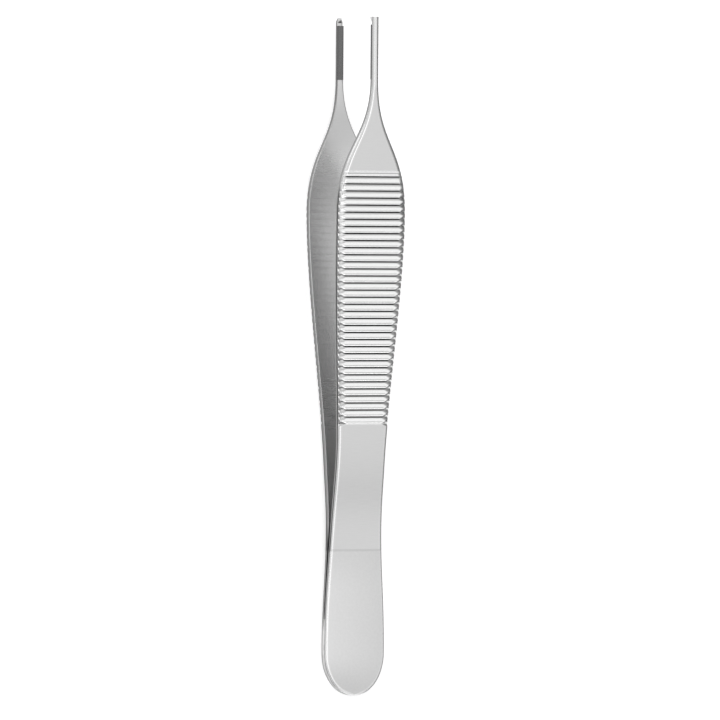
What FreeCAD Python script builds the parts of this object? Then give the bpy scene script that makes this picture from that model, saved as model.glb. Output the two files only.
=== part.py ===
"""Thumb forceps: two spring arms joined at the butt, with ribbed grips and toothed, inlaid jaws.

Sizes are in millimetres. Each arm is drawn beside the plane midway between the arms: X runs from
the butt to the tip, Y across the arm, and Z is the distance from that plane. The forceps is then
laid down on its lower arm, as it comes to rest on a table, with its origin under its middle.
"""

import FreeCAD, Part
from FreeCAD import Vector
from collections import namedtuple
import math
import os

# Outline of an arm, seen square on to its outer face, in stretches from the butt to the tip
BUTT_WIDTH = 11.2
BUTT_ROUND = 7.5
WAIST_AT = 42.0
WAIST_WIDTH = 9.1
WAIST_TO_WIDEST = 43.0
GRIP_WIDTH = 12.9
SHOULDER_LENGTH = 24.0
JAW_WIDTH = 1.2
INSERT_LENGTH = 9.6
TIP_LENGTH = 1.4
WIDEST_AT = WAIST_AT + WAIST_TO_WIDEST
JAW_FROM = WIDEST_AT + SHOULDER_LENGTH
LENGTH = JAW_FROM + INSERT_LENGTH + TIP_LENGTH

# Bow of the arms: how far apart their inner faces are
SEAM_LENGTH = 13.0
BOW_LENGTH = 35.0
BOW_GAP = 5.9
BOW_SLOPE = 0.094
BOW_TO_LEVEL = 40.5
GRIP_GAP = 12.8
TIP_GAP = 15.3
BOW_TO = SEAM_LENGTH + BOW_LENGTH
LEVEL_AT = BOW_TO + BOW_TO_LEVEL

# Ribbed grip, with heights above an arm's inner face: a rib has a crown between steep flanks
WAIST_TO_RIBS = 6.2
RIBS_LENGTH = 44.45
RIB_PITCH = 1.245
RIB_CREST = 1.52
RIB_EDGE = 1.44
RIB_VALLEY = 1.2
FLANK_RUN = 0.13
LAST_RIB_SHARE = 0.67
LAST_VALLEY = 1.42
LAST_VALLEY_RUN = 0.16
RIBS_FROM = WAIST_AT + WAIST_TO_RIBS
RIBS_TO = RIBS_FROM + RIBS_LENGTH

# Flares in which the grooves between the ribs run out over the bevels, with slopes as rise per
# run. The last few, at the shoulder, grow shallower by one step each.
FLARE_FOOT = 0.96
FLARE_SLOPE_ACROSS = 0.3
FLARE_SLOPE_ALONG = 0.62
FLARE_SPARE = 0.1
EASED_FLARES = 3
FLARE_STEP = 0.06

# Thickness of an arm, and the height of its upright sides under the bevels
BUTT_THICKNESS = 1.12
BLADE_THICKNESS = 1.32
SHOULDER_THICKNESS = 1.5
JAW_THICKNESS = 1.15
BUTT_SIDE = 1.0
GRIP_SIDE = 1.15
JAW_SIDE = 0.95
BEVEL_RUN = 1.8
BEVEL_SPARE = 0.4
RIDGE_SHARE = 0.1

# Jaw inlay and teeth
INSERT_THICKNESS = 0.45
TOOTH_LENGTH = 0.9
TOOTH_LAND = 0.25
TOOTH_REACH = 0.2
TOOTH_BASE_WIDTH = 0.7
TOOTH_POINT_WIDTH = 0.12
TOOTH_CLEARANCE = 0.06
CORNER_WIDTH = 0.3
CORNER_LENGTH = 0.7
SEAT = TIP_GAP / 2 + INSERT_THICKNESS
TOOTH_POINT = TIP_GAP / 2 - TOOTH_REACH

# Spacing of the sections that an arm is lofted through, and how far a cut runs past the steel
SECTION_STEP = 3.0
SPARE = 5.0

# A place that a smooth curve passes, its slope there, and the shares of the spans before and
# after it over which the curve keeps that slope
Knot = namedtuple("Knot", "x y slope before after")

HALF_WIDTH = (
    Knot(BUTT_ROUND, BUTT_WIDTH / 2, 0.0, 0.0, 0.37),
    Knot(WAIST_AT, WAIST_WIDTH / 2, 0.0, 0.58, 0.21),
    Knot(WIDEST_AT, GRIP_WIDTH / 2, 0.0, 0.37, 0.52),
    Knot(JAW_FROM, JAW_WIDTH / 2, 0.0, 0.47, 0.0),
)
INNER_FACE = (
    Knot(SEAM_LENGTH, 0.0, 0.0, 0.0, 0.68),
    Knot(BOW_TO, BOW_GAP / 2, BOW_SLOPE, 0.46, 0.5),
    Knot(LEVEL_AT, GRIP_GAP / 2, 0.0, 0.27, 0.55),
    Knot(JAW_FROM, TIP_GAP / 2, 0.0, 0.33, 0.0),
)
THICKNESS = (
    Knot(SEAM_LENGTH, BUTT_THICKNESS, 0.0, 0.0, 0.5),
    Knot(RIBS_FROM, BLADE_THICKNESS, 0.0, 0.4, 0.5),
    Knot(RIBS_TO, SHOULDER_THICKNESS, 0.0, 0.5, 0.5),
    Knot(JAW_FROM, JAW_THICKNESS, 0.0, 0.5, 0.0),
)
SIDE_HEIGHT = (
    Knot(SEAM_LENGTH, BUTT_SIDE, 0.0, 0.0, 0.5),
    Knot(RIBS_FROM, GRIP_SIDE, 0.0, 0.4, 0.5),
    Knot(RIBS_TO, GRIP_SIDE, 0.0, 0.5, 0.5),
    Knot(JAW_FROM, JAW_SIDE, 0.0, 0.5, 0.0),
)


def cubic(t, start, near_start, near_end, end):
    """Value at t of a cubic curve between two ends, with one handle near each."""
    s = 1.0 - t
    return (
        s * s * s * start
        + 3 * s * s * t * near_start
        + 3 * s * t * t * near_end
        + t * t * t * end
    )


def height(knots, x):
    """Height at x of the smooth curve through the knots, level beyond its ends."""
    if x <= knots[0].x:
        return knots[0].y
    if x >= knots[-1].x:
        return knots[-1].y
    start, end = next(pair for pair in zip(knots, knots[1:]) if x <= pair[1].x)
    reach = start.after * (end.x - start.x)
    reach_back = end.before * (end.x - start.x)
    low = 0.0
    high = 1.0
    while high - low > 1e-9:
        t = (low + high) / 2
        if cubic(t, start.x, start.x + reach, end.x - reach_back, end.x) < x:
            low = t
        else:
            high = t
    leaving = start.y + start.slope * reach
    arriving = end.y - end.slope * reach_back
    return cubic(low, start.y, leaving, arriving, end.y)


def inner(x):
    return height(INNER_FACE, x)


def outer(x):
    """Height of an arm's plain outer face, which the ribs interrupt."""
    return inner(x) + height(THICKNESS, x)


def places(first, last):
    """Evenly spaced places from the first to the last, about one section step apart."""
    count = max(3, round((last - first) / SECTION_STEP))
    return [first + (last - first) * i / count for i in range(count + 1)]


def prism(wire, direction):
    return Part.Face(wire).extrude(direction)


def polygon(points):
    return Part.makePolygon(points + points[:1])


def bevel_rise(half):
    """Rise of the bevels of an arm this wide: past the outer face, which is cut afterwards."""
    return min(RIB_CREST - GRIP_SIDE + BEVEL_SPARE, (1 - RIDGE_SHARE) * half / BEVEL_RUN)


def section(x):
    """Section of an arm at x: flat inside, upright sides and a bevel along each outer edge."""
    half = height(HALF_WIDTH, x)
    base = inner(x)
    side = base + height(SIDE_HEIGHT, x)
    rise = bevel_rise(half)
    ridge = half - rise * BEVEL_RUN
    right = [(half, base), (half, side), (ridge, side + rise)]
    left = [(-y, z) for y, z in reversed(right)]
    return polygon([Vector(x, y, z) for y, z in right + left])


def bar():
    """An arm before its outer face, its butt end and its jaw are cut: straight at both ends."""
    butt = prism(section(BUTT_ROUND), Vector(-BUTT_ROUND - SPARE, 0, 0))
    bowed = Part.makeLoft([section(x) for x in places(BUTT_ROUND, JAW_FROM)], True)
    jaw = prism(section(JAW_FROM), Vector(LENGTH - JAW_FROM, 0, 0))
    return bowed.fuse([butt, jaw])


def plain_edge(first, last):
    """Edge along the plain outer face from one place to another."""
    curve = Part.BSplineCurve()
    curve.interpolate([Vector(x, 0, outer(x)) for x in places(first, last)])
    return curve.toShape()


def rib_places():
    """Start of each rib, and the pitch that lets the last one run out into the shoulder."""
    count = max(1, round(RIBS_LENGTH / RIB_PITCH - LAST_RIB_SHARE))
    pitch = RIBS_LENGTH / (count + LAST_RIB_SHARE)
    return [RIBS_FROM + i * pitch for i in range(count + 1)], pitch


def above_inner(x, rise):
    return Vector(x, 0, inner(x) + rise)


def crest(x):
    return above_inner(x, RIB_CREST)


def rib_edges():
    """Edges along the ribbed grip: for each rib a flank, a crown and a flank."""
    starts, pitch = rib_places()
    feet = [Vector(RIBS_FROM, 0, outer(RIBS_FROM))]
    feet += [above_inner(x, RIB_VALLEY) for x in starts[1:]]
    feet.append(above_inner(RIBS_TO, LAST_VALLEY))
    edges = []
    for foot, next_foot in zip(feet, feet[1:]):
        rear = above_inner(foot.x + FLANK_RUN, RIB_EDGE)
        front = above_inner(next_foot.x - FLANK_RUN, RIB_EDGE)
        top = crest((foot.x + next_foot.x) / 2)
        edges.append(Part.makeLine(foot, rear))
        edges.append(Part.Arc(rear, top, front).toShape())
        edges.append(Part.makeLine(front, next_foot))
    return edges


def above_outer_face():
    """Everything over an arm's outer face, between two planes clear of its sides."""
    butt_side = Vector(-SPARE, 0, outer(0.0))
    seam_end = Vector(SEAM_LENGTH, 0, outer(SEAM_LENGTH))
    shoulder_from = RIBS_TO + LAST_VALLEY_RUN
    shoulder = Vector(shoulder_from, 0, outer(shoulder_from))
    jaw_root = Vector(JAW_FROM, 0, outer(JAW_FROM))
    tip_side = Vector(LENGTH + SPARE, 0, outer(LENGTH))
    tip_top = Vector(LENGTH + SPARE, 0, TIP_GAP + SPARE)
    butt_top = Vector(-SPARE, 0, TIP_GAP + SPARE)
    edges = [Part.makeLine(butt_side, seam_end), plain_edge(SEAM_LENGTH, RIBS_FROM)]
    edges += rib_edges()
    edges.append(Part.makeLine(above_inner(RIBS_TO, LAST_VALLEY), shoulder))
    edges += [plain_edge(shoulder_from, JAW_FROM), Part.makeLine(jaw_root, tip_side)]
    edges.append(Part.makeLine(tip_side, tip_top))
    edges.append(Part.makeLine(tip_top, butt_top))
    edges.append(Part.makeLine(butt_top, butt_side))
    wire = Part.Wire(edges)
    wire.translate(Vector(0, -GRIP_WIDTH, 0))
    return prism(wire, Vector(0, 2 * GRIP_WIDTH, 0))


def flare(x, foot, hand):
    """Space over the flare of one groove on one side: a pyramid that stands on its point."""
    edge = height(HALF_WIDTH, x)
    top = RIB_CREST + FLARE_SPARE
    point = foot - FLARE_SLOPE_ACROSS * FLARE_SPARE
    mouth = (top - point) / FLARE_SLOPE_ALONG
    inward = (top - foot) / FLARE_SLOPE_ACROSS
    corners = [above_inner(x, point), above_inner(x - mouth, top)]
    corners += [above_inner(x + mouth, top), above_inner(x, top)]
    for corner in corners[:3]:
        corner.y = hand * (edge + FLARE_SPARE)
    corners[3].y = hand * (edge - inward)
    sides = [(0, 1, 2), (0, 2, 3), (0, 3, 1), (1, 3, 2)]
    faces = [Part.Face(polygon([corners[i] for i in side])) for side in sides]
    return Part.makeSolid(Part.makeShell(faces))


def flares():
    """Every flare, from the shoulder back: the ribs end in points between them."""
    starts, pitch = rib_places()
    spaces = []
    for i, x in enumerate(reversed(starts)):
        foot = FLARE_FOOT + FLARE_STEP * max(0, EASED_FLARES - i)
        spaces += [flare(x, foot, 1), flare(x, foot, -1)]
    return spaces


def beyond_butt_end():
    """What lies outside the half ellipse of the butt's end, around which its bevel runs on."""
    reach = BUTT_WIDTH / 2
    rise = bevel_rise(reach)
    low = -SPARE
    tall = 2 * SPARE + BUTT_THICKNESS
    stretch = FreeCAD.Matrix()
    stretch.scale(Vector(BUTT_ROUND / reach, 1, 1))
    column = Part.makeCylinder(reach, BUTT_SIDE - low, Vector(0, 0, low))
    cap = Part.makeCone(reach, reach - rise * BEVEL_RUN, rise, Vector(0, 0, BUTT_SIDE))
    pillar = column.fuse(cap).transformGeometry(stretch)
    pillar.translate(Vector(BUTT_ROUND, 0, 0))
    corner = Vector(-2 * SPARE, -reach - SPARE, low)
    block = Part.makeBox(BUTT_ROUND + 2 * SPARE, 2 * (reach + SPARE), tall, corner)
    return block.cut(pillar)


def jaw_space():
    """The seat of the jaw's inlay, open at the tip."""
    corner = Vector(JAW_FROM, -GRIP_WIDTH / 2, SEAT - INSERT_THICKNESS - SPARE)
    return Part.makeBox(LENGTH, GRIP_WIDTH, INSERT_THICKNESS + SPARE, corner)


def tooth_ridge():
    """The teeth's form seen from the side, across the whole jaw and sunk into its steel."""
    sunk = SEAT + (JAW_SIDE - INSERT_THICKNESS) / 2
    back = LENGTH - TOOTH_LENGTH
    outline = [
        Vector(LENGTH, 0, sunk),
        Vector(LENGTH, 0, TOOTH_POINT),
        Vector(LENGTH - TOOTH_LAND, 0, TOOTH_POINT),
        Vector(back, 0, SEAT),
        Vector(back, 0, sunk),
    ]
    wire = polygon(outline)
    wire.translate(Vector(0, -JAW_WIDTH / 2, 0))
    return prism(wire, Vector(0, JAW_WIDTH, 0))


def tooth_half_width(level):
    """Half width of the single tooth, this far from its point towards its own seat."""
    share = level / (SEAT - TOOTH_POINT)
    return (TOOTH_POINT_WIDTH + share * (TOOTH_BASE_WIDTH - TOOTH_POINT_WIDTH)) / 2


def along_tip(half_outline):
    """Prism along the last stretch of the jaw over an outline that is symmetric across it."""
    left = [(-y, z) for y, z in reversed(half_outline)]
    start = LENGTH - TIP_LENGTH
    wire = polygon([Vector(start, y, z) for y, z in half_outline + left])
    return prism(wire, Vector(TIP_LENGTH + SPARE, 0, 0))


def single_tooth():
    """The tooth that stands in the middle of one jaw."""
    base = TOOTH_BASE_WIDTH / 2
    form = [(tooth_half_width(0.0), TOOTH_POINT), (base, SEAT), (base, SEAT + SPARE)]
    return tooth_ridge().common(along_tip(form))


def tooth_pair():
    """The two teeth of the other jaw, with a notch between them that clears the single tooth."""
    mouth = tooth_half_width(2 * TOOTH_REACH) + TOOTH_CLEARANCE
    throat = tooth_half_width(0.0) + TOOTH_CLEARANCE
    bottom = TOOTH_POINT + 2 * TOOTH_REACH
    notch = [(mouth, TOOTH_POINT - SPARE), (mouth, TOOTH_POINT), (throat, bottom), (throat, SEAT)]
    return tooth_ridge().cut(along_tip(notch))


def tip_corners():
    """The two corners that are cut off beside the single tooth."""
    corners = []
    for side in (1, -1):
        edge = side * JAW_WIDTH / 2
        outline = [
            Vector(LENGTH - CORNER_LENGTH, edge, 0),
            Vector(LENGTH, edge - side * CORNER_WIDTH, 0),
            Vector(LENGTH + SPARE, edge - side * CORNER_WIDTH, 0),
            Vector(LENGTH + SPARE, edge + side * SPARE, 0),
            Vector(LENGTH - CORNER_LENGTH, edge + side * SPARE, 0),
        ]
        corners.append(prism(polygon(outline), Vector(0, 0, TIP_GAP + SPARE)))
    return corners


def toothless_arm():
    return bar().cut([above_outer_face(), beyond_butt_end(), jaw_space()]).cut(flares())


def insert():
    """Inlay of a jaw: as wide as the jaw, and flush with the steel behind it."""
    corner = Vector(JAW_FROM, -JAW_WIDTH / 2, TIP_GAP / 2)
    return Part.makeBox(INSERT_LENGTH, JAW_WIDTH, INSERT_THICKNESS, corner)


def other_side(shape):
    return shape.mirror(Vector(0, 0, 0), Vector(0, 0, 1))


def butt_corner():
    """Where the outer face of an arm ends at the butt, inside the bevel that runs round it."""
    bevel = (BUTT_THICKNESS - BUTT_SIDE) * BEVEL_RUN
    return Vector(bevel * BUTT_ROUND / (BUTT_WIDTH / 2), 0, BUTT_THICKNESS)


def rest_tilt():
    """Angle that brings the lower arm's butt corner and its lowest rib down to one level."""
    corner = butt_corner()
    starts, pitch = rib_places()
    crests = [crest(x + pitch / 2) for x in starts]
    return max(math.atan2(point.z - corner.z, point.x - corner.x) for point in crests)


def laid_down(shape):
    """The shape as it lies at rest, with the origin under the middle of the forceps."""
    tilt = rest_tilt()
    corner = butt_corner()
    tip = LENGTH * math.cos(tilt) + (TIP_GAP / 2 + JAW_THICKNESS) * math.sin(tilt)
    butt = -BUTT_SIDE * math.sin(tilt)
    lift = corner.z * math.cos(tilt) - corner.x * math.sin(tilt)
    laid = shape.copy()
    laid.rotate(Vector(0, 0, 0), Vector(0, 1, 0), -math.degrees(tilt))
    laid.translate(Vector(-(tip + butt) / 2, 0, lift))
    return laid


def pieces():
    """Every piece of the forceps by name, still beside the middle plane."""
    arm = toothless_arm()
    upper = arm.fuse(tooth_pair()).removeSplitter()
    lower = arm.fuse(single_tooth()).cut(tip_corners()).removeSplitter()
    return {
        "upper_arm": upper,
        "lower_arm": other_side(lower),
        "upper_jaw_insert": insert(),
        "lower_jaw_insert": other_side(insert()),
    }


def main():
    os.makedirs("parts", exist_ok=True)
    for name, shape in pieces().items():
        laid_down(shape).exportStep(f"parts/{name}.step")


main()
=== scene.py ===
"""The look of the thumb forceps: finely rounded steel arms with dark inlays, on a pale table.

The arms are drawn as in part.py, in millimetres beside the plane midway between them: x runs
from the butt to the tip, y across, and z is the distance from that plane. rest() lays each
point down in the row frame, in metres.
"""

from collections import namedtuple
import math

import bmesh
import bpy
from mathutils import Matrix, Vector

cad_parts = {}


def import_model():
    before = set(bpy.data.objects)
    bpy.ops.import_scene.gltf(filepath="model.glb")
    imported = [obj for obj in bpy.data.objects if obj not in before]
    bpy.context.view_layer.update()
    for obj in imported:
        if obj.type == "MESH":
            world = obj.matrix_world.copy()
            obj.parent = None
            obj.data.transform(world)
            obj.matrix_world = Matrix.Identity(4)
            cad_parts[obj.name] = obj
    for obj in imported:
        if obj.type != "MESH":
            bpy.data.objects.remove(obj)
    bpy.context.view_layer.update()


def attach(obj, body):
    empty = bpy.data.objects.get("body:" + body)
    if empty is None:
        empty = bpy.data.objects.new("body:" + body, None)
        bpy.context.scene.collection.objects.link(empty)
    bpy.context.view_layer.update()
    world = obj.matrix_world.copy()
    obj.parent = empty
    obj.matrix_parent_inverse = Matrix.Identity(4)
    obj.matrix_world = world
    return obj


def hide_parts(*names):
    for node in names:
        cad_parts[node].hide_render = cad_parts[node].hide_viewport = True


# Sizes repeated from part.py
BUTT_WIDTH = 11.2
BUTT_ROUND = 7.5
WAIST_AT = 42.0
WAIST_WIDTH = 9.1
WIDEST_AT = WAIST_AT + 43.0
GRIP_WIDTH = 12.9
JAW_FROM = WIDEST_AT + 24.0
JAW_WIDTH = 1.2
INSERT_LENGTH = 9.6
LENGTH = JAW_FROM + INSERT_LENGTH + 1.4
SEAM_LENGTH = 13.0
BOW_TO = SEAM_LENGTH + 35.0
BOW_GAP = 5.9
BOW_SLOPE = 0.094
LEVEL_AT = BOW_TO + 40.5
GRIP_GAP = 12.8
TIP_GAP = 15.3
RIBS_FROM = WAIST_AT + 6.2
RIBS_LENGTH = 44.45
RIBS_TO = RIBS_FROM + RIBS_LENGTH
RIB_COUNT = 35
LAST_RIB_SHARE = 0.67
RIB_PITCH = RIBS_LENGTH / (RIB_COUNT + LAST_RIB_SHARE)
RIB_CREST = 1.52
RIB_EDGE = 1.44
RIB_VALLEY = 1.2
FLANK_RUN = 0.13
LAST_VALLEY = 1.42
LAST_VALLEY_RUN = 0.16
FLARE_FOOT = 0.96
FLARE_SLOPE_ACROSS = 0.3
FLARE_SLOPE_ALONG = 0.62
EASED_FLARES = 3
FLARE_STEP = 0.06
BUTT_THICKNESS = 1.12
BLADE_THICKNESS = 1.32
SHOULDER_THICKNESS = 1.5
JAW_THICKNESS = 1.15
BUTT_SIDE = 1.0
GRIP_SIDE = 1.15
JAW_SIDE = 0.95
BEVEL_RUN = 1.8
INSERT_THICKNESS = 0.45
TOOTH_LENGTH = 0.9
TOOTH_LAND = 0.25
TOOTH_REACH = 0.2
TOOTH_BASE_WIDTH = 0.7
TOOTH_POINT_WIDTH = 0.12
TOOTH_CLEARANCE = 0.06
CORNER_WIDTH = 0.3
CORNER_LENGTH = 0.7
SEAT = TIP_GAP / 2 + INSERT_THICKNESS
TOOTH_POINT = TIP_GAP / 2 - TOOTH_REACH

# The bottom of the notch between the paired teeth, and how deep the teeth are sunk into the jaw
NOTCH_BOTTOM = TOOTH_POINT + 2 * TOOTH_REACH
TOOTH_ROOT = SEAT + JAW_SIDE / 4

# Fine form that the solids leave out: how far each edge is eased, and the steps of the meshes
INNER_EDGE = 0.25
SIDE_EDGE = 0.3
FLARE_EDGE = 0.06
FACE_EDGE = 0.26
CROWN_EDGE = 0.05
EDGE_STEPS = 3
LONGEST_EASE = 0.45
SEAM_EASE = 2.0
NARROWEST_FACE = 0.05
CROWN_ROWS = 7
BUTT_ROWS = 16
ROW_STEP = 0.9
FINE_STEP = 0.12
CORNER_STEP = 0.1
PYRAMID = 0.3
PYRAMID_DEPTH = 0.08
CURVE_TOLERANCE = 1e-9

# Cleaning of the meshes, in metres, and the angle from which their shading has an edge
SAME_PLACE = 2e-7
NO_LENGTH = 1e-7
SHARP_ANGLE = math.radians(38)

# Where the finishes, the painted highlights and the painted shade begin and end along the arms,
# and how far they fade
SATIN_TO = 25.8
SATIN_BORDER = 0.15
SATIN_FADE = 8.0
MIRROR_FROM = 45.0
MIRROR_FULL_FROM = 75.0
MIRROR_FULL_TO = 82.0
MIRROR_TO = 98.0
JAW_POLISH_FROM = JAW_FROM - 1.0
CREVICE_FROM = SEAM_LENGTH + 0.5
EDGE_LINE_FADE = 4.0

# The painted shade in the crevice between the arms is darkest up to the narrow gap and has gone at
# the wide one
CREVICE_NARROW = 0.3
CREVICE_WIDE = 1.6

# How dark the painted shade is in the lines on the arms' edges, at the crevice's rim and in the
# notches between the ribs' ends, from 0 to 1
EDGE_LINE = 0.9
BUTT_EDGE_LINE = 0.66
CREVICE_RIM = 0.55
RIB_NOTCH = 0.75

# Steel: how much light it throws back, and what each finish adds to that. The change across the
# satin is painted light, its darkening towards the butt's end painted shade, and the polish's tone
# a painted highlight
STEEL_TONE = 0.56
BRUSH_TONE = 0.012
MOTTLE_TONE = 0.01
SATIN_TONE = 0.07
SATIN_PAINTED_LIGHT_ACROSS = 0.008
SATIN_SHARE_AT_BORDER = 0.5
SATIN_SHARE_AT_END = -0.4
PAINTED_HIGHLIGHT_TONE = 0.12

# Steel: the shares of its tone that are left under the painted shade in grooves, crevices and
# lines on edges, at the satin's border, and under the painted shade on the sides
PAINTED_SHADE_SHARE = 0.06
PAINTED_SHADE_FROM = 0.35
PAINTED_SHADE_TO = 0.85
BORDER_SHARE = 0.88
BORDER_LINE = 0.1
BORDER_LINE_GONE = 0.3
# These shares of the sides are painted shade
GRIP_WALL_SHARE = 0.4
JAW_WALL_SHARE = 0.26
SATIN_WALL_ADDS = 0.25

# Steel: roughness and the grain of its finishes
STEEL_ROUGH = 0.3
BRUSH_ROUGH = 0.02
SATIN_ROUGH = 0.08
POLISH_ROUGH = 0.13
BRUSH_SCALE = 9.0
BRUSH_DETAIL = 3.0
BRUSH_STRETCH = 0.05
BRUSH_BUMP = 0.03
BRUSH_DEPTH = 0.00001
MOTTLE_SCALE = 2.2
MOTTLE_DETAIL = 2.0
NOISE_LOW = 0.3
NOISE_HIGH = 0.7

# Hard metal: the range of its speckle, and the shares of its tone in the middle and at the edges.
# Its dark tone is partly a painted reflection
HARD_METALNESS = 0.8
HARD_TONE_AND_PAINTED_REFLECTION = (0.1, 0.2)
HARD_ROUGH = (0.35, 0.5)
SPECKLE_SCALE = 9.0
SPECKLE_DETAIL = 3.0
INLAY_MIDDLE_TO = 0.25
INLAY_MIDDLE_SHARE = 1.1
INLAY_EDGE_SHARE = 0.75

# Table and room. The room's light is weaker low down: it rises between two values of the upward
# part of a direction
TABLE_REACH = 3.0
TABLE_COLOUR = (0.9, 0.9, 0.9, 1.0)
TABLE_GLOW = 0.42
ROOM_LOW = 0.14
ROOM_HIGH = 0.5
ROOM_LOW_TO = 0.15
ROOM_HIGH_FROM = 0.5

# Camera, found from the outline of the forceps in the photograph
TURN = math.radians(22.381)
LEAN = math.radians(1.185)
ROLL = math.radians(-0.411)
AIM_X = 59.417
AIM_Y = -1.012
DISTANCE = 1.5
LENS = 423.84

# Light panels, each placed by its angles in degrees from straight above, towards -Y and towards
# +X, with its distance and size in metres
Panel = namedtuple("Panel", "name sideways forwards distance width length radiance")
PANELS = (
    Panel("key_panel", 4.0, -9.0, 1.6, 1.6, 1.2, 0.59),
    Panel("ridge_panel", -5.0, -2.0, 1.6, 0.4, 2.2, 0.6),
    Panel("fill_panel", 14.0, 2.0, 1.8, 2.0, 4.4, 0.18),
    Panel("front_panel", -2.0, 60.0, 1.8, 1.2, 0.8, 0.6),
    Panel("back_panel", 24.0, -57.0, 1.8, 1.6, 0.8, 1.2),
    Panel("left_panel", -42.0, 22.0, 1.8, 0.9, 3.2, 0.55),
    Panel("low_panel", -59.0, 53.0, 1.6, 0.9, 0.9, 1.3),
)

# Smooth curves along the arms, each through knots with a slope and two reaches
Knot = namedtuple("Knot", "x y slope before after")
HALF_WIDTH = (
    Knot(BUTT_ROUND, BUTT_WIDTH / 2, 0.0, 0.0, 0.37),
    Knot(WAIST_AT, WAIST_WIDTH / 2, 0.0, 0.58, 0.21),
    Knot(WIDEST_AT, GRIP_WIDTH / 2, 0.0, 0.37, 0.52),
    Knot(JAW_FROM, JAW_WIDTH / 2, 0.0, 0.47, 0.0),
)
INNER_FACE = (
    Knot(SEAM_LENGTH, 0.0, 0.0, 0.0, 0.68),
    Knot(BOW_TO, BOW_GAP / 2, BOW_SLOPE, 0.46, 0.5),
    Knot(LEVEL_AT, GRIP_GAP / 2, 0.0, 0.27, 0.55),
    Knot(JAW_FROM, TIP_GAP / 2, 0.0, 0.33, 0.0),
)
THICKNESS = (
    Knot(SEAM_LENGTH, BUTT_THICKNESS, 0.0, 0.0, 0.5),
    Knot(RIBS_FROM, BLADE_THICKNESS, 0.0, 0.4, 0.5),
    Knot(RIBS_TO, SHOULDER_THICKNESS, 0.0, 0.5, 0.5),
    Knot(JAW_FROM, JAW_THICKNESS, 0.0, 0.5, 0.0),
)
SIDE_HEIGHT = (
    Knot(SEAM_LENGTH, BUTT_SIDE, 0.0, 0.0, 0.5),
    Knot(RIBS_FROM, GRIP_SIDE, 0.0, 0.4, 0.5),
    Knot(RIBS_TO, GRIP_SIDE, 0.0, 0.5, 0.5),
    Knot(JAW_FROM, JAW_SIDE, 0.0, 0.5, 0.0),
)


def cubic(t, start, near_start, near_end, end):
    """Value at share t of the curve from start to end, drawn towards the two between."""
    s = 1.0 - t
    return (
        s * s * s * start
        + 3 * s * s * t * near_start
        + 3 * s * t * t * near_end
        + t * t * t * end
    )


def height(knots, x):
    """Height at x of the smooth curve through the knots, level beyond its ends."""
    if x <= knots[0].x:
        return knots[0].y
    if x >= knots[-1].x:
        return knots[-1].y
    start, end = next(pair for pair in zip(knots, knots[1:]) if x <= pair[1].x)
    reach = start.after * (end.x - start.x)
    reach_back = end.before * (end.x - start.x)
    low = 0.0
    high = 1.0
    while high - low > CURVE_TOLERANCE:
        t = (low + high) / 2
        if cubic(t, start.x, start.x + reach, end.x - reach_back, end.x) < x:
            low = t
        else:
            high = t
    leaving = start.y + start.slope * reach
    arriving = end.y - end.slope * reach_back
    return cubic(low, start.y, leaving, arriving, end.y)


def inner(x):
    """Height of an arm's inner face."""
    return height(INNER_FACE, x)


def outer(x):
    """Height of an arm's outer face where it has no ribs."""
    return inner(x) + height(THICKNESS, x)


def circle_through(a, b, c):
    """Centre and radius of the circle through three points."""
    (ax, az), (bx, bz), (cx, cz) = a, b, c
    twist = 2 * (ax * (bz - cz) + bx * (cz - az) + cx * (az - bz))
    a2 = ax * ax + az * az
    b2 = bx * bx + bz * bz
    c2 = cx * cx + cz * cz
    x = (a2 * (bz - cz) + b2 * (cz - az) + c2 * (az - bz)) / twist
    z = (a2 * (cx - bx) + b2 * (ax - cx) + c2 * (bx - ax)) / twist
    return x, z, math.hypot(ax - x, az - z)


def rib_starts():
    """Where each rib starts, the last of them being a shorter one."""
    return [RIBS_FROM + i * RIB_PITCH for i in range(RIB_COUNT + 1)]


def above_inner(x, rise):
    return x, inner(x) + rise


def rib_rows():
    """Places and heights along the ribbed grip: for each rib a flank, a crown and a flank."""
    feet = [(RIBS_FROM, outer(RIBS_FROM))]
    feet += [above_inner(x, RIB_VALLEY) for x in rib_starts()[1:]]
    feet.append(above_inner(RIBS_TO, LAST_VALLEY))
    rows = []
    for foot, next_foot in zip(feet, feet[1:]):
        rear = above_inner(foot[0] + FLANK_RUN, RIB_EDGE)
        front = above_inner(next_foot[0] - FLANK_RUN, RIB_EDGE)
        top = above_inner((foot[0] + next_foot[0]) / 2, RIB_CREST)
        x, z, radius = circle_through(rear, top, front)
        crown = []
        for place in spaced(rear[0], front[0], (front[0] - rear[0]) / CROWN_ROWS):
            crown.append((place, z + math.sqrt(radius * radius - (place - x) ** 2)))
        rows.append(foot)
        rows += eased(foot, rear, crown[1], CROWN_EDGE)
        rows += crown[1:-1]
        rows += eased(crown[-2], front, next_foot, CROWN_EDGE)
    return rows + feet[-1:]


def flare(x):
    """Lowest height above the inner face, at an arm's edge, of the flares around x."""
    heights = []
    for i, start in enumerate(reversed(rib_starts())):
        foot = FLARE_FOOT + FLARE_STEP * max(0, EASED_FLARES - i)
        heights.append(foot + FLARE_SLOPE_ALONG * abs(x - start))
    return min(heights)


def rest_tilt():
    """Angle at which the forceps lies on its butt's edge and its lowest rib."""
    corner_x, corner_z = butt_corner()
    crests = [x + RIB_PITCH / 2 for x in rib_starts()]
    return max(math.atan2(inner(x) + RIB_CREST - corner_z, x - corner_x) for x in crests)


def butt_corner():
    """Place and height of the butt's outer edge, on which it rests."""
    bevel = (BUTT_THICKNESS - BUTT_SIDE) * BEVEL_RUN
    return bevel * BUTT_ROUND / (BUTT_WIDTH / 2), BUTT_THICKNESS


TILT = rest_tilt()
ALONG = Vector((math.cos(TILT), 0, math.sin(TILT)))
ACROSS = Vector((0, 1, 0))
OUT = Vector((-math.sin(TILT), 0, math.cos(TILT)))


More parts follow.
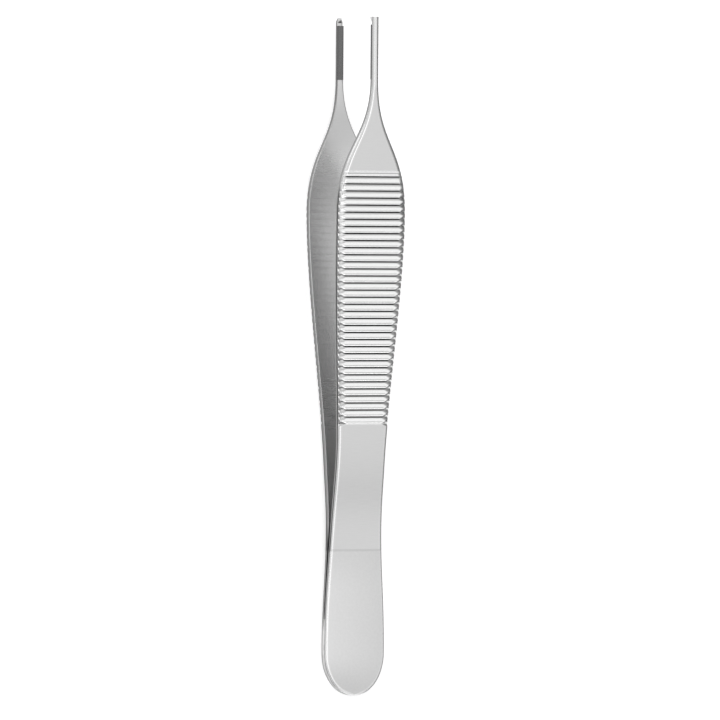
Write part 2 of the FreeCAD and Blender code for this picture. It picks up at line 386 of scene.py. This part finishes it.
def rest(x, y, z):
    """Place in the row frame, in metres, of a point drawn beside the middle plane."""
    corner_x, corner_z = butt_corner()
    tip = LENGTH * ALONG.x - (TIP_GAP / 2 + JAW_THICKNESS) * OUT.x
    butt = BUTT_SIDE * OUT.x
    lift = corner_z * OUT.z - corner_x * ALONG.z
    place = ALONG * x + ACROSS * y + OUT * z + Vector((-(tip + butt) / 2, 0, lift))
    return place / 1000


# A row across an arm: its edge's place, the way inwards from there, and the heights of the inner
# face, the side, the outer face and the flares. Where there are no flares they stay out of reach
NO_FLARE = 1000.0
Station = namedtuple("Station", "x y inward_x inward_y base side top flare", defaults=(NO_FLARE,))

# A point of a piece, with its share of the painted shade on the sides, its polish, which also sets
# a painted highlight, and how much painted shade it has in a groove, a crevice or a line on an
# edge
Point = namedtuple("Point", "x y z wall polish groove", defaults=(0.0, 0.0, 0.0))

# Shares for the points of half_profile(), four to each of its four bends. Those of the walls,
# which set the painted shade on the sides, are for all four, the inner face's polish for the
# first, and the other polishes for the rest. Each polish also sets a painted highlight, which is
# all that its values above 1 add
WALL_SHARES = (0.0, 0.3, 0.7, 1.0) + (1.0, 0.6, 0.3, 0.0) + 8 * (0.0,)
INNER_POLISH_AND_HIGHLIGHT = (0.9, 0.7, 0.3, 0.0)
EDGE_POLISH_AND_HIGHLIGHT = (0.2, 1.8, 2.2, 0.8) + 4 * (0.7,) + (0.8, 1.0, 0.8, 0.0)
RIB_POLISH_AND_HIGHLIGHT = (0.2, 1.4, 1.4, 1.4) + 8 * (1.3,)
JAW_POLISH_AND_HIGHLIGHT = (0.2, 1.4, 1.0, 0.6) + 8 * (0.6,)
STEP_POLISH_AND_HIGHLIGHT = (0.2, 1.4, 1.4, 1.4) + 8 * (3.0,)


def butt_stations():
    """Rows round the half ellipse of the butt's end."""
    reach = BUTT_WIDTH / 2
    found = []
    for i in range(BUTT_ROWS):
        turn = math.pi / 2 * i / BUTT_ROWS
        x = BUTT_ROUND * (1 - math.cos(turn))
        y = reach * math.sin(turn)
        inward_x = BUTT_ROUND / reach * math.cos(turn)
        found.append(Station(x, y, inward_x, -math.sin(turn), 0.0, BUTT_SIDE, BUTT_THICKNESS))
    return found


def station(x, top, base=None, half=None):
    """Row at x, on the arm's inner face and as wide as the arm unless told otherwise."""
    half = height(HALF_WIDTH, x) if half is None else half
    base = inner(x) if base is None else base
    side = inner(x) + height(SIDE_HEIGHT, x)
    return Station(x, half, 0.0, -1.0, base, side, top, inner(x) + flare(x))


def spaced(first, last, step):
    """Places from first to last in even steps, as near as they can be to the one given."""
    count = max(1, round((last - first) / step))
    return [first + (last - first) * i / count for i in range(count + 1)]


def stations(narrowed):
    """Every row of an arm from the butt to the tip, with the tip's corners cut or not."""
    flares_from = RIBS_FROM - RIB_PITCH / 2
    shoulder_from = RIBS_TO + LAST_VALLEY_RUN
    flares_to = RIBS_TO + RIB_PITCH / 2
    rows = butt_stations()
    rows += [station(x, outer(x)) for x in spaced(BUTT_ROUND, flares_from, ROW_STEP)]
    rows += [station(x, outer(x)) for x in spaced(flares_from, RIBS_FROM, FINE_STEP)[1:-1]]
    rows += [station(x, top) for x, top in rib_rows()]
    rows += [station(x, outer(x)) for x in spaced(shoulder_from, flares_to, FINE_STEP)]
    rows += [station(x, outer(x)) for x in spaced(flares_to, JAW_FROM, ROW_STEP)[1:]]
    corner = LENGTH - CORNER_LENGTH
    for x in spaced(JAW_FROM, corner, ROW_STEP) + spaced(corner, LENGTH, CORNER_STEP)[1:]:
        half = JAW_WIDTH / 2
        if narrowed and x > corner:
            half -= CORNER_WIDTH * (x - corner) / CORNER_LENGTH
        rows.append(station(x, outer(x), SEAT, half))
    return rows


def ramp(value, low, high):
    """Share from 0 at low to 1 at high, of which either may be the larger."""
    return min(1.0, max(0.0, (value - low) / (high - low)))


def groove_depth(row):
    """How far down between two ribs a row lies, from 0 at the crests to 1."""
    if not RIBS_FROM < row.x < RIBS_TO:
        return 0.0
    return ramp(row.top - inner(row.x), RIB_CREST, RIB_VALLEY)


def eased(before, corner, after, radius):
    """Points of a soft bend in place of the corner between two straight lines."""
    ends = []
    for other in (before, after):
        length = math.dist(corner, other)
        share = min(radius, LONGEST_EASE * length) / length if length else 0.0
        ends.append([c + share * (o - c) for c, o in zip(corner, other)])
    start, end = ends
    points = []
    for i in range(EDGE_STEPS + 1):
        t = i / EDGE_STEPS
        weights = ((1 - t) ** 2, 2 * t * (1 - t), t * t)
        pulls = list(zip(weights, (start, corner, end)))
        points.append([sum(weight * place[k] for weight, place in pulls) for k in (0, 1)])
    return points


def half_profile(row):
    """Insets and heights of a row's points, from the inner face round one side to the outer."""
    middle = max(abs(row.y), NARROWEST_FACE)
    inside = (middle, row.base)
    foot = (0.0, row.base)
    shoulder = (0.0, min(row.side, row.flare))
    ridge = (BEVEL_RUN * (row.top - row.side), row.top)
    flared = row.flare + FLARE_SLOPE_ACROSS * ridge[0] <= row.top
    if flared:
        ridge = ((row.top - row.flare) / FLARE_SLOPE_ACROSS, row.top)
    knee = [(a + b) / 2 for a, b in zip(shoulder, ridge)]
    if flared and row.flare > row.side:
        inset = (row.flare - row.side) / (1 / BEVEL_RUN - FLARE_SLOPE_ACROSS)
        knee = (inset, row.side + inset / BEVEL_RUN)
    outside = (max(middle, ridge[0] + NARROWEST_FACE), row.top)
    parted = ramp(row.x, SEAM_LENGTH, SEAM_LENGTH + SEAM_EASE)
    points = eased(inside, foot, shoulder, INNER_EDGE * parted)
    points += eased(foot, shoulder, knee, SIDE_EDGE)
    points += eased(shoulder, knee, ridge, FLARE_EDGE)
    points += eased(knee, ridge, outside, FACE_EDGE)
    return points


def inner_marks(row):
    """Polish of the inner face's points, which also sets a painted highlight, and the painted
    shade of the crevice by the butt on them.
    """
    rising = ramp(row.x, MIRROR_FROM, MIRROR_FULL_FROM)
    falling = ramp(row.x, MIRROR_TO, MIRROR_FULL_TO)
    mirror = min(rising, falling)
    crevice = 0.0
    # Painted shade in the crevice between the arms
    if row.x >= CREVICE_FROM:
        crevice = 1.0 - ramp(2 * inner(row.x), CREVICE_NARROW, CREVICE_WIDE)
    depths = (crevice, crevice, crevice, CREVICE_RIM * crevice)
    return [(mirror * polish, depth) for polish, depth in zip(INNER_POLISH_AND_HIGHLIGHT, depths)]


def outer_marks(row):
    """Polish, which also sets a painted highlight, and painted shade of the points on the side,
    the bevel and the outer face.
    """
    polish_and_highlights = EDGE_POLISH_AND_HIGHLIGHT
    if RIBS_FROM <= row.x < RIBS_TO:
        polish_and_highlights = RIB_POLISH_AND_HIGHLIGHT
    elif RIBS_TO <= row.x <= RIBS_TO + LAST_VALLEY_RUN:
        polish_and_highlights = STEP_POLISH_AND_HIGHLIGHT
    elif row.x > JAW_POLISH_FROM:
        polish_and_highlights = JAW_POLISH_AND_HIGHLIGHT
    # Painted shade: a dark line along the top of each side, lighter over the butt and fading out
    # at the ribs' end
    line = BUTT_EDGE_LINE if row.x < SATIN_TO else EDGE_LINE
    line *= ramp(row.x, RIBS_TO, RIBS_TO - EDGE_LINE_FADE)
    groove = groove_depth(row)
    side = [line, line, 0.0, 0.0]
    # Painted shade in the notches between the ribs' ends and at the bottoms of the grooves
    notch = 4 * [RIB_NOTCH * groove]
    face = [0.0, 0.0, 0.0, groove]
    return list(zip(polish_and_highlights, side + notch + face))


def ring(row):
    """Closed loop of one row, from the middle of the inner face round both sides."""
    profile = half_profile(row)
    marks = inner_marks(row) + outer_marks(row)
    right = []
    for (inset, z), wall, (polish, depth) in zip(profile, WALL_SHARES, marks):
        x = row.x + inset * row.inward_x
        y = row.y + inset * row.inward_y
        right.append(Point(x, max(y, 0.0), z, wall, polish, depth))
    left = [point._replace(y=-point.y) for point in reversed(right)]
    return right + left


def skin(rings, cap_start=True):
    """Vertices and faces of a closed skin over rings with the same number of points.

    An arm's first ring has no width, so it needs no cap.
    """
    size = len(rings[0])
    vertices = [point for loop in rings for point in loop]
    faces = []
    for i in range(len(rings) - 1):
        for j in range(size):
            k = (j + 1) % size
            faces.append((i * size + j, i * size + k, (i + 1) * size + k, (i + 1) * size + j))
    if cap_start:
        faces.append(tuple(range(size)))
    faces.append(tuple(range((len(rings) - 1) * size, len(rings) * size)))
    return vertices, faces


def tooth_half_width(drop):
    """Half width of the single tooth at a distance below its point."""
    share = min(drop, SEAT - TOOTH_POINT) / (SEAT - TOOTH_POINT)
    return (TOOTH_POINT_WIDTH + share * (TOOTH_BASE_WIDTH - TOOTH_POINT_WIDTH)) / 2


def tooth_rows():
    """Places along the tip, each with the level of the teeth there."""
    slope_from = LENGTH - TOOTH_LENGTH
    slope_to = LENGTH - TOOTH_LAND
    share = (SEAT - NOTCH_BOTTOM) / (SEAT - TOOTH_POINT)
    return [
        (slope_from, SEAT),
        (slope_from + share * (slope_to - slope_from), NOTCH_BOTTOM),
        (slope_to, TOOTH_POINT),
        (LENGTH, TOOTH_POINT),
    ]


def single_tooth():
    """The lower arm's middle tooth."""
    base = TOOTH_BASE_WIDTH / 2
    rings = []
    for x, level in tooth_rows():
        point = tooth_half_width(level - TOOTH_POINT)
        side = [(base, TOOTH_ROOT), (base, SEAT), (point, level)]
        loop = [Point(x, y, z) for y, z in side] + [Point(x, -y, z) for y, z in reversed(side)]
        rings.append(loop)
    return [skin(rings)]


def tooth_pair():
    """The upper arm's two teeth, with a notch between them for the single one."""
    mouth = tooth_half_width(2 * TOOTH_REACH) + TOOTH_CLEARANCE
    throat = tooth_half_width(0.0) + TOOTH_CLEARANCE
    teeth = []
    for hand in (1, -1):
        rings = []
        for x, level in tooth_rows():
            share = max(0.0, (NOTCH_BOTTOM - level) / (NOTCH_BOTTOM - TOOTH_POINT))
            edge = throat + share * (mouth - throat)
            side = [(JAW_WIDTH / 2, TOOTH_ROOT), (JAW_WIDTH / 2, level), (edge, level)]
            side += [(throat, max(level, NOTCH_BOTTOM)), (throat, TOOTH_ROOT)]
            rings.append([Point(x, hand * y, z) for y, z in side])
        teeth.append(skin(rings))
    return teeth


def insert_skin():
    """An inlay with rows of small pyramids on its gripping face."""
    across = round(JAW_WIDTH / PYRAMID)
    along = round(INSERT_LENGTH / PYRAMID)
    rings = []
    for i in range(2 * along + 1):
        x = JAW_FROM + INSERT_LENGTH * i / (2 * along)
        loop = []
        for j in range(2 * across + 1):
            y = JAW_WIDTH * (j / (2 * across) - 0.5)
            depth = 0.0 if i % 2 and j % 2 else PYRAMID_DEPTH
            loop.append(Point(x, y, TIP_GAP / 2 + depth))
        loop += [Point(x, JAW_WIDTH / 2, SEAT), Point(x, -JAW_WIDTH / 2, SEAT)]
        rings.append(loop)
    return [skin(rings)]


def make_piece(name, skins, hand, node, material):
    """Object from skins drawn for the upper arm's side, or its mirror for hand -1."""
    vertices = []
    faces = []
    for points, loops in skins:
        offset = len(vertices)
        vertices += points
        faces += [tuple(offset + i for i in loop) for loop in loops]
    mesh = bpy.data.meshes.new(name)
    mesh.from_pydata([rest(p.x, p.y, hand * p.z) for p in vertices], [], faces)
    fields = {"along": "x", "across": "y", "wall": "wall", "polish": "polish", "groove": "groove"}
    for mark, field in fields.items():
        values = [getattr(point, field) for point in vertices]
        mesh.attributes.new(mark, "FLOAT", "POINT").data.foreach_set("value", values)
    form = bmesh.new()
    form.from_mesh(mesh)
    bmesh.ops.remove_doubles(form, verts=form.verts, dist=SAME_PLACE)
    bmesh.ops.dissolve_degenerate(form, edges=form.edges, dist=NO_LENGTH)
    bmesh.ops.recalc_face_normals(form, faces=form.faces)
    form.to_mesh(mesh)
    form.free()
    mesh.shade_smooth()
    mesh.set_sharp_from_angle(angle=SHARP_ANGLE)
    mesh.materials.append(material)
    piece = bpy.data.objects.new(name, mesh)
    bpy.context.scene.collection.objects.link(piece)
    weighted = piece.modifiers.new("even_shading", "WEIGHTED_NORMAL")
    weighted.keep_sharp = True
    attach(piece, "root")
    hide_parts(node)


class Nodes:
    """Short way to add and link the nodes of a material or of the world."""

    def __init__(self, tree):
        self.tree = tree
        self.tree.nodes.clear()

    def add(self, kind, settings=None, **inputs):
        """A node with its settings, and with a value or a link for each input that is named."""
        node = self.tree.nodes.new(kind)
        for key, value in (settings or {}).items():
            setattr(node, key, value)
        for key, value in inputs.items():
            self.put(node.inputs[key.replace("_", " ")], value)
        return node

    def put(self, socket, value):
        """Link another node's output to an input, or set the input's own value."""
        if isinstance(value, bpy.types.NodeSocket):
            self.tree.links.new(value, socket)
        else:
            socket.default_value = value

    def maths(self, operation, *values):
        """Result of one operation with one or two values."""
        node = self.tree.nodes.new("ShaderNodeMath")
        node.operation = operation
        for socket, value in zip(node.inputs, values):
            self.put(socket, value)
        return node.outputs[0]

    def chain(self, operation, first, *others):
        """One operation over all the values, from the first to the last."""
        result = first
        for value in others:
            result = self.maths(operation, result, value)
        return result

    def total(self, *values):
        return self.chain("ADD", *values)

    def product(self, *values):
        return self.chain("MULTIPLY", *values)

    def span(self, value, low, high, to_low, to_high):
        """Smooth change from to_low to to_high while the value goes from low to high."""
        node = self.add("ShaderNodeMapRange", {"interpolation_type": "SMOOTHSTEP"})
        for socket, number in zip(node.inputs, (value, low, high, to_low, to_high)):
            self.put(socket, number)
        return node.outputs[0]

    def mark(self, name):
        """Value that the points of a piece carry under this name."""
        return self.add("ShaderNodeAttribute", {"attribute_name": name}).outputs["Fac"]

    def place(self, along, across):
        """Place on a surface for the grain to follow."""
        return self.add("ShaderNodeCombineXYZ", X=along, Y=across, Z=0.0).outputs[0]

    def noise(self, place, scale, detail):
        node = self.add("ShaderNodeTexNoise", Vector=place, Scale=scale, Detail=detail)
        return node.outputs["Fac"]

    def swing(self, place, scale, detail):
        """Noise spread out between -1 and 1."""
        return self.span(self.noise(place, scale, detail), NOISE_LOW, NOISE_HIGH, -1.0, 1.0)

    def grey(self, value):
        node = self.add("ShaderNodeCombineColor", Red=value, Green=value, Blue=value)
        return node.outputs[0]

    def surface(self, shader, kind="ShaderNodeOutputMaterial"):
        output = self.add(kind)
        self.put(output.inputs["Surface"], shader.outputs[0])


def new_material(name):
    material = bpy.data.materials.new(name)
    material.use_nodes = True
    return material, Nodes(material.node_tree)


def steel_tone(nodes, along, across, polish, lines, satin):
    """How much light the steel throws back before painted shade: painted light across the satin,
    painted shade towards the butt's end and a painted highlight where it is polished.
    """
    brushed = nodes.maths("SUBTRACT", 1.0, satin)
    mottle = nodes.swing(nodes.place(along, across), MOTTLE_SCALE, MOTTLE_DETAIL)
    # Painted light across the satin, and painted shade towards the butt's end
    paler = nodes.product(
        nodes.total(SATIN_TONE, nodes.product(across, SATIN_PAINTED_LIGHT_ACROSS)),
        nodes.span(along, SATIN_TO - SATIN_FADE, SATIN_TO, 1.0, SATIN_SHARE_AT_BORDER),
        nodes.span(along, 0.0, SATIN_FADE, SATIN_SHARE_AT_END, 1.0),
    )
    return nodes.total(
        STEEL_TONE,
        nodes.product(lines, brushed, BRUSH_TONE),
        nodes.product(mottle, satin, MOTTLE_TONE),
        nodes.product(satin, paler),
        # A painted highlight where the steel is polished
        nodes.product(polish, PAINTED_HIGHLIGHT_TONE),
    )


def steel_shade(nodes, along, satin):
    """What the painted shade in grooves, crevices and lines on edges, the satin's border and the
    painted shade on the sides leave of the tone.
    """
    # Painted shade in grooves, crevices and lines on edges
    painted_shade_share = nodes.span(nodes.mark("groove"), PAINTED_SHADE_FROM, PAINTED_SHADE_TO, 1.0, PAINTED_SHADE_SHARE)
    from_border = nodes.maths("ABSOLUTE", nodes.maths("SUBTRACT", along, SATIN_TO))
    border = nodes.span(from_border, BORDER_LINE, BORDER_LINE_GONE, BORDER_SHARE, 1.0)
    # Painted shade on the sides
    wall_share = nodes.total(
        nodes.span(along, RIBS_TO, JAW_FROM, GRIP_WALL_SHARE, JAW_WALL_SHARE),
        nodes.product(satin, SATIN_WALL_ADDS),
    )
    wall = nodes.add("ShaderNodeMapRange", Value=nodes.mark("wall"), To_Min=1.0, To_Max=wall_share)
    return nodes.product(painted_shade_share, border, wall.outputs[0])


def steel():
    """Brushed across the arms, polished on the ribs and blasted to a fine satin over the butt,
    with painted shade and painted highlights in its colour.
    """
    material, nodes = new_material("satin_steel")
    along = nodes.mark("along")
    across = nodes.mark("across")
    polish = nodes.mark("polish")
    brushed_place = nodes.place(along, nodes.product(across, BRUSH_STRETCH))
    lines = nodes.swing(brushed_place, BRUSH_SCALE, BRUSH_DETAIL)
    satin = nodes.span(along, SATIN_TO + SATIN_BORDER, SATIN_TO - SATIN_BORDER, 0.0, 1.0)
    tone = steel_tone(nodes, along, across, polish, lines, satin)
    colour = nodes.grey(nodes.product(tone, steel_shade(nodes, along, satin)))
    rough = nodes.total(
        STEEL_ROUGH,
        nodes.product(lines, BRUSH_ROUGH),
        nodes.product(satin, SATIN_ROUGH),
        nodes.product(nodes.maths("MINIMUM", polish, 1.0), -POLISH_ROUGH),
    )
    bump = nodes.add("ShaderNodeBump", Strength=BRUSH_BUMP, Distance=BRUSH_DEPTH, Height=lines)
    shader = nodes.add("ShaderNodeBsdfPrincipled", Base_Color=colour, Roughness=rough)
    nodes.put(shader.inputs["Normal"], bump.outputs[0])
    nodes.put(shader.inputs["Metallic"], 1.0)
    nodes.surface(shader)
    return material


def hard_metal():
    """Dark sintered inlay with a fine speckle, a little darker along its edges; its dark tone is
    partly a painted reflection.
    """
    material, nodes = new_material("hard_metal")
    across = nodes.mark("across")
    speckle = nodes.noise(nodes.place(nodes.mark("along"), across), SPECKLE_SCALE, SPECKLE_DETAIL)
    # The dark tone is partly a painted reflection
    tone = nodes.span(speckle, NOISE_LOW, NOISE_HIGH, *HARD_TONE_AND_PAINTED_REFLECTION)
    rough = nodes.span(speckle, NOISE_LOW, NOISE_HIGH, *HARD_ROUGH)
    off_middle = nodes.maths("ABSOLUTE", across)
    shares = (INLAY_MIDDLE_SHARE, INLAY_EDGE_SHARE)
    middle = nodes.span(off_middle, INLAY_MIDDLE_TO, JAW_WIDTH / 2, *shares)
    colour = nodes.grey(nodes.product(tone, middle))
    shader = nodes.add("ShaderNodeBsdfPrincipled", Base_Color=colour, Roughness=rough)
    nodes.put(shader.inputs["Metallic"], HARD_METALNESS)
    nodes.surface(shader)
    return material


def table_material():
    """Pale table that shows white to the camera and in the steel, and keeps a soft shadow."""
    material, nodes = new_material("pale_table")
    diffuse = nodes.add("ShaderNodeBsdfDiffuse", Color=TABLE_COLOUR)
    ray = nodes.add("ShaderNodeLightPath").outputs
    seen = nodes.maths("MAXIMUM", ray["Is Camera Ray"], ray["Is Glossy Ray"])
    seen = nodes.maths("MAXIMUM", seen, ray["Is Transmission Ray"])
    glow = nodes.add("ShaderNodeEmission", Strength=nodes.product(seen, TABLE_GLOW))
    both = nodes.add("ShaderNodeAddShader")
    nodes.put(both.inputs[0], diffuse.outputs[0])
    nodes.put(both.inputs[1], glow.outputs[0])
    nodes.surface(both)
    return material


def make_table():
    """Level floor under the forceps."""
    mesh = bpy.data.meshes.new("table")
    signs = ((-1, -1), (1, -1), (1, 1), (-1, 1))
    corners = [(TABLE_REACH * x, TABLE_REACH * y, 0) for x, y in signs]
    mesh.from_pydata(corners, [], [(0, 1, 2, 3)])
    mesh.materials.append(table_material())
    floor = bpy.data.objects.new("table", mesh)
    bpy.context.scene.collection.objects.link(floor)


def looking(position, forward, up):
    """Placement that looks along forward, with up as near as it can be to the picture's top."""
    right = forward.cross(up).normalized()
    upright = right.cross(forward).normalized()
    turn = Matrix((right, upright, -forward)).transposed()
    return Matrix.Translation(position) @ turn.to_4x4()


def add_camera():
    """Camera over the upper arm, turned as in the photograph."""
    towards = (OUT * math.cos(TURN) + ACROSS * math.sin(TURN)) * math.cos(LEAN)
    towards += ALONG * math.sin(LEAN)
    target = rest(AIM_X, AIM_Y, 0.0)
    data = bpy.data.cameras.new("camera")
    data.lens = LENS
    data.sensor_width = 36.0
    data.clip_start = 0.05
    data.clip_end = 50.0
    camera = bpy.data.objects.new("camera", data)
    placed = looking(target + towards * DISTANCE, -towards, ALONG)
    camera.matrix_world = placed @ Matrix.Rotation(-ROLL, 4, "Z")
    bpy.context.scene.collection.objects.link(camera)
    bpy.context.scene.camera = camera


def add_panel(panel):
    """Soft light that points at the forceps."""
    towards_tip = math.tan(math.radians(panel.forwards))
    towards_side = math.tan(math.radians(panel.sideways))
    direction = Vector((towards_tip, -towards_side, 1.0)).normalized()
    data = bpy.data.lights.new(panel.name, "AREA")
    data.shape = "RECTANGLE"
    data.size = panel.length
    data.size_y = panel.width
    data.energy = math.pi * panel.width * panel.length * panel.radiance
    lamp = bpy.data.objects.new(panel.name, data)
    lamp.matrix_world = looking(direction * panel.distance, -direction, Vector((0, 1, 0)))
    lamp.visible_camera = False
    bpy.context.scene.collection.objects.link(lamp)


def add_room():
    """White room that is darker towards the horizon."""
    world = bpy.data.worlds.new("room")
    world.use_nodes = True
    nodes = Nodes(world.node_tree)
    direction = nodes.add("ShaderNodeTexCoord").outputs["Generated"]
    up = nodes.add("ShaderNodeSeparateXYZ", Vector=direction).outputs["Z"]
    strength = nodes.span(up, ROOM_LOW_TO, ROOM_HIGH_FROM, ROOM_LOW, ROOM_HIGH)
    room = nodes.add("ShaderNodeBackground", Color=(1.0, 1.0, 1.0, 1.0), Strength=strength)
    nodes.surface(room, "ShaderNodeOutputWorld")
    bpy.context.scene.world = world


def main():
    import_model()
    steel_material = steel()
    hard_material = hard_metal()
    for name, hand, teeth in (("upper", 1, tooth_pair()), ("lower", -1, single_tooth())):
        arm = skin([ring(row) for row in stations(hand < 0)], cap_start=False)
        make_piece(f"{name}_arm_form", [arm] + teeth, hand, f"{name}_arm", steel_material)
        pad = f"{name}_jaw_insert"
        make_piece(f"{pad}_form", insert_skin(), hand, pad, hard_material)
    make_table()
    add_camera()
    for panel in PANELS:
        add_panel(panel)
    add_room()
    bpy.context.scene.view_settings.view_transform = "Standard"


main()
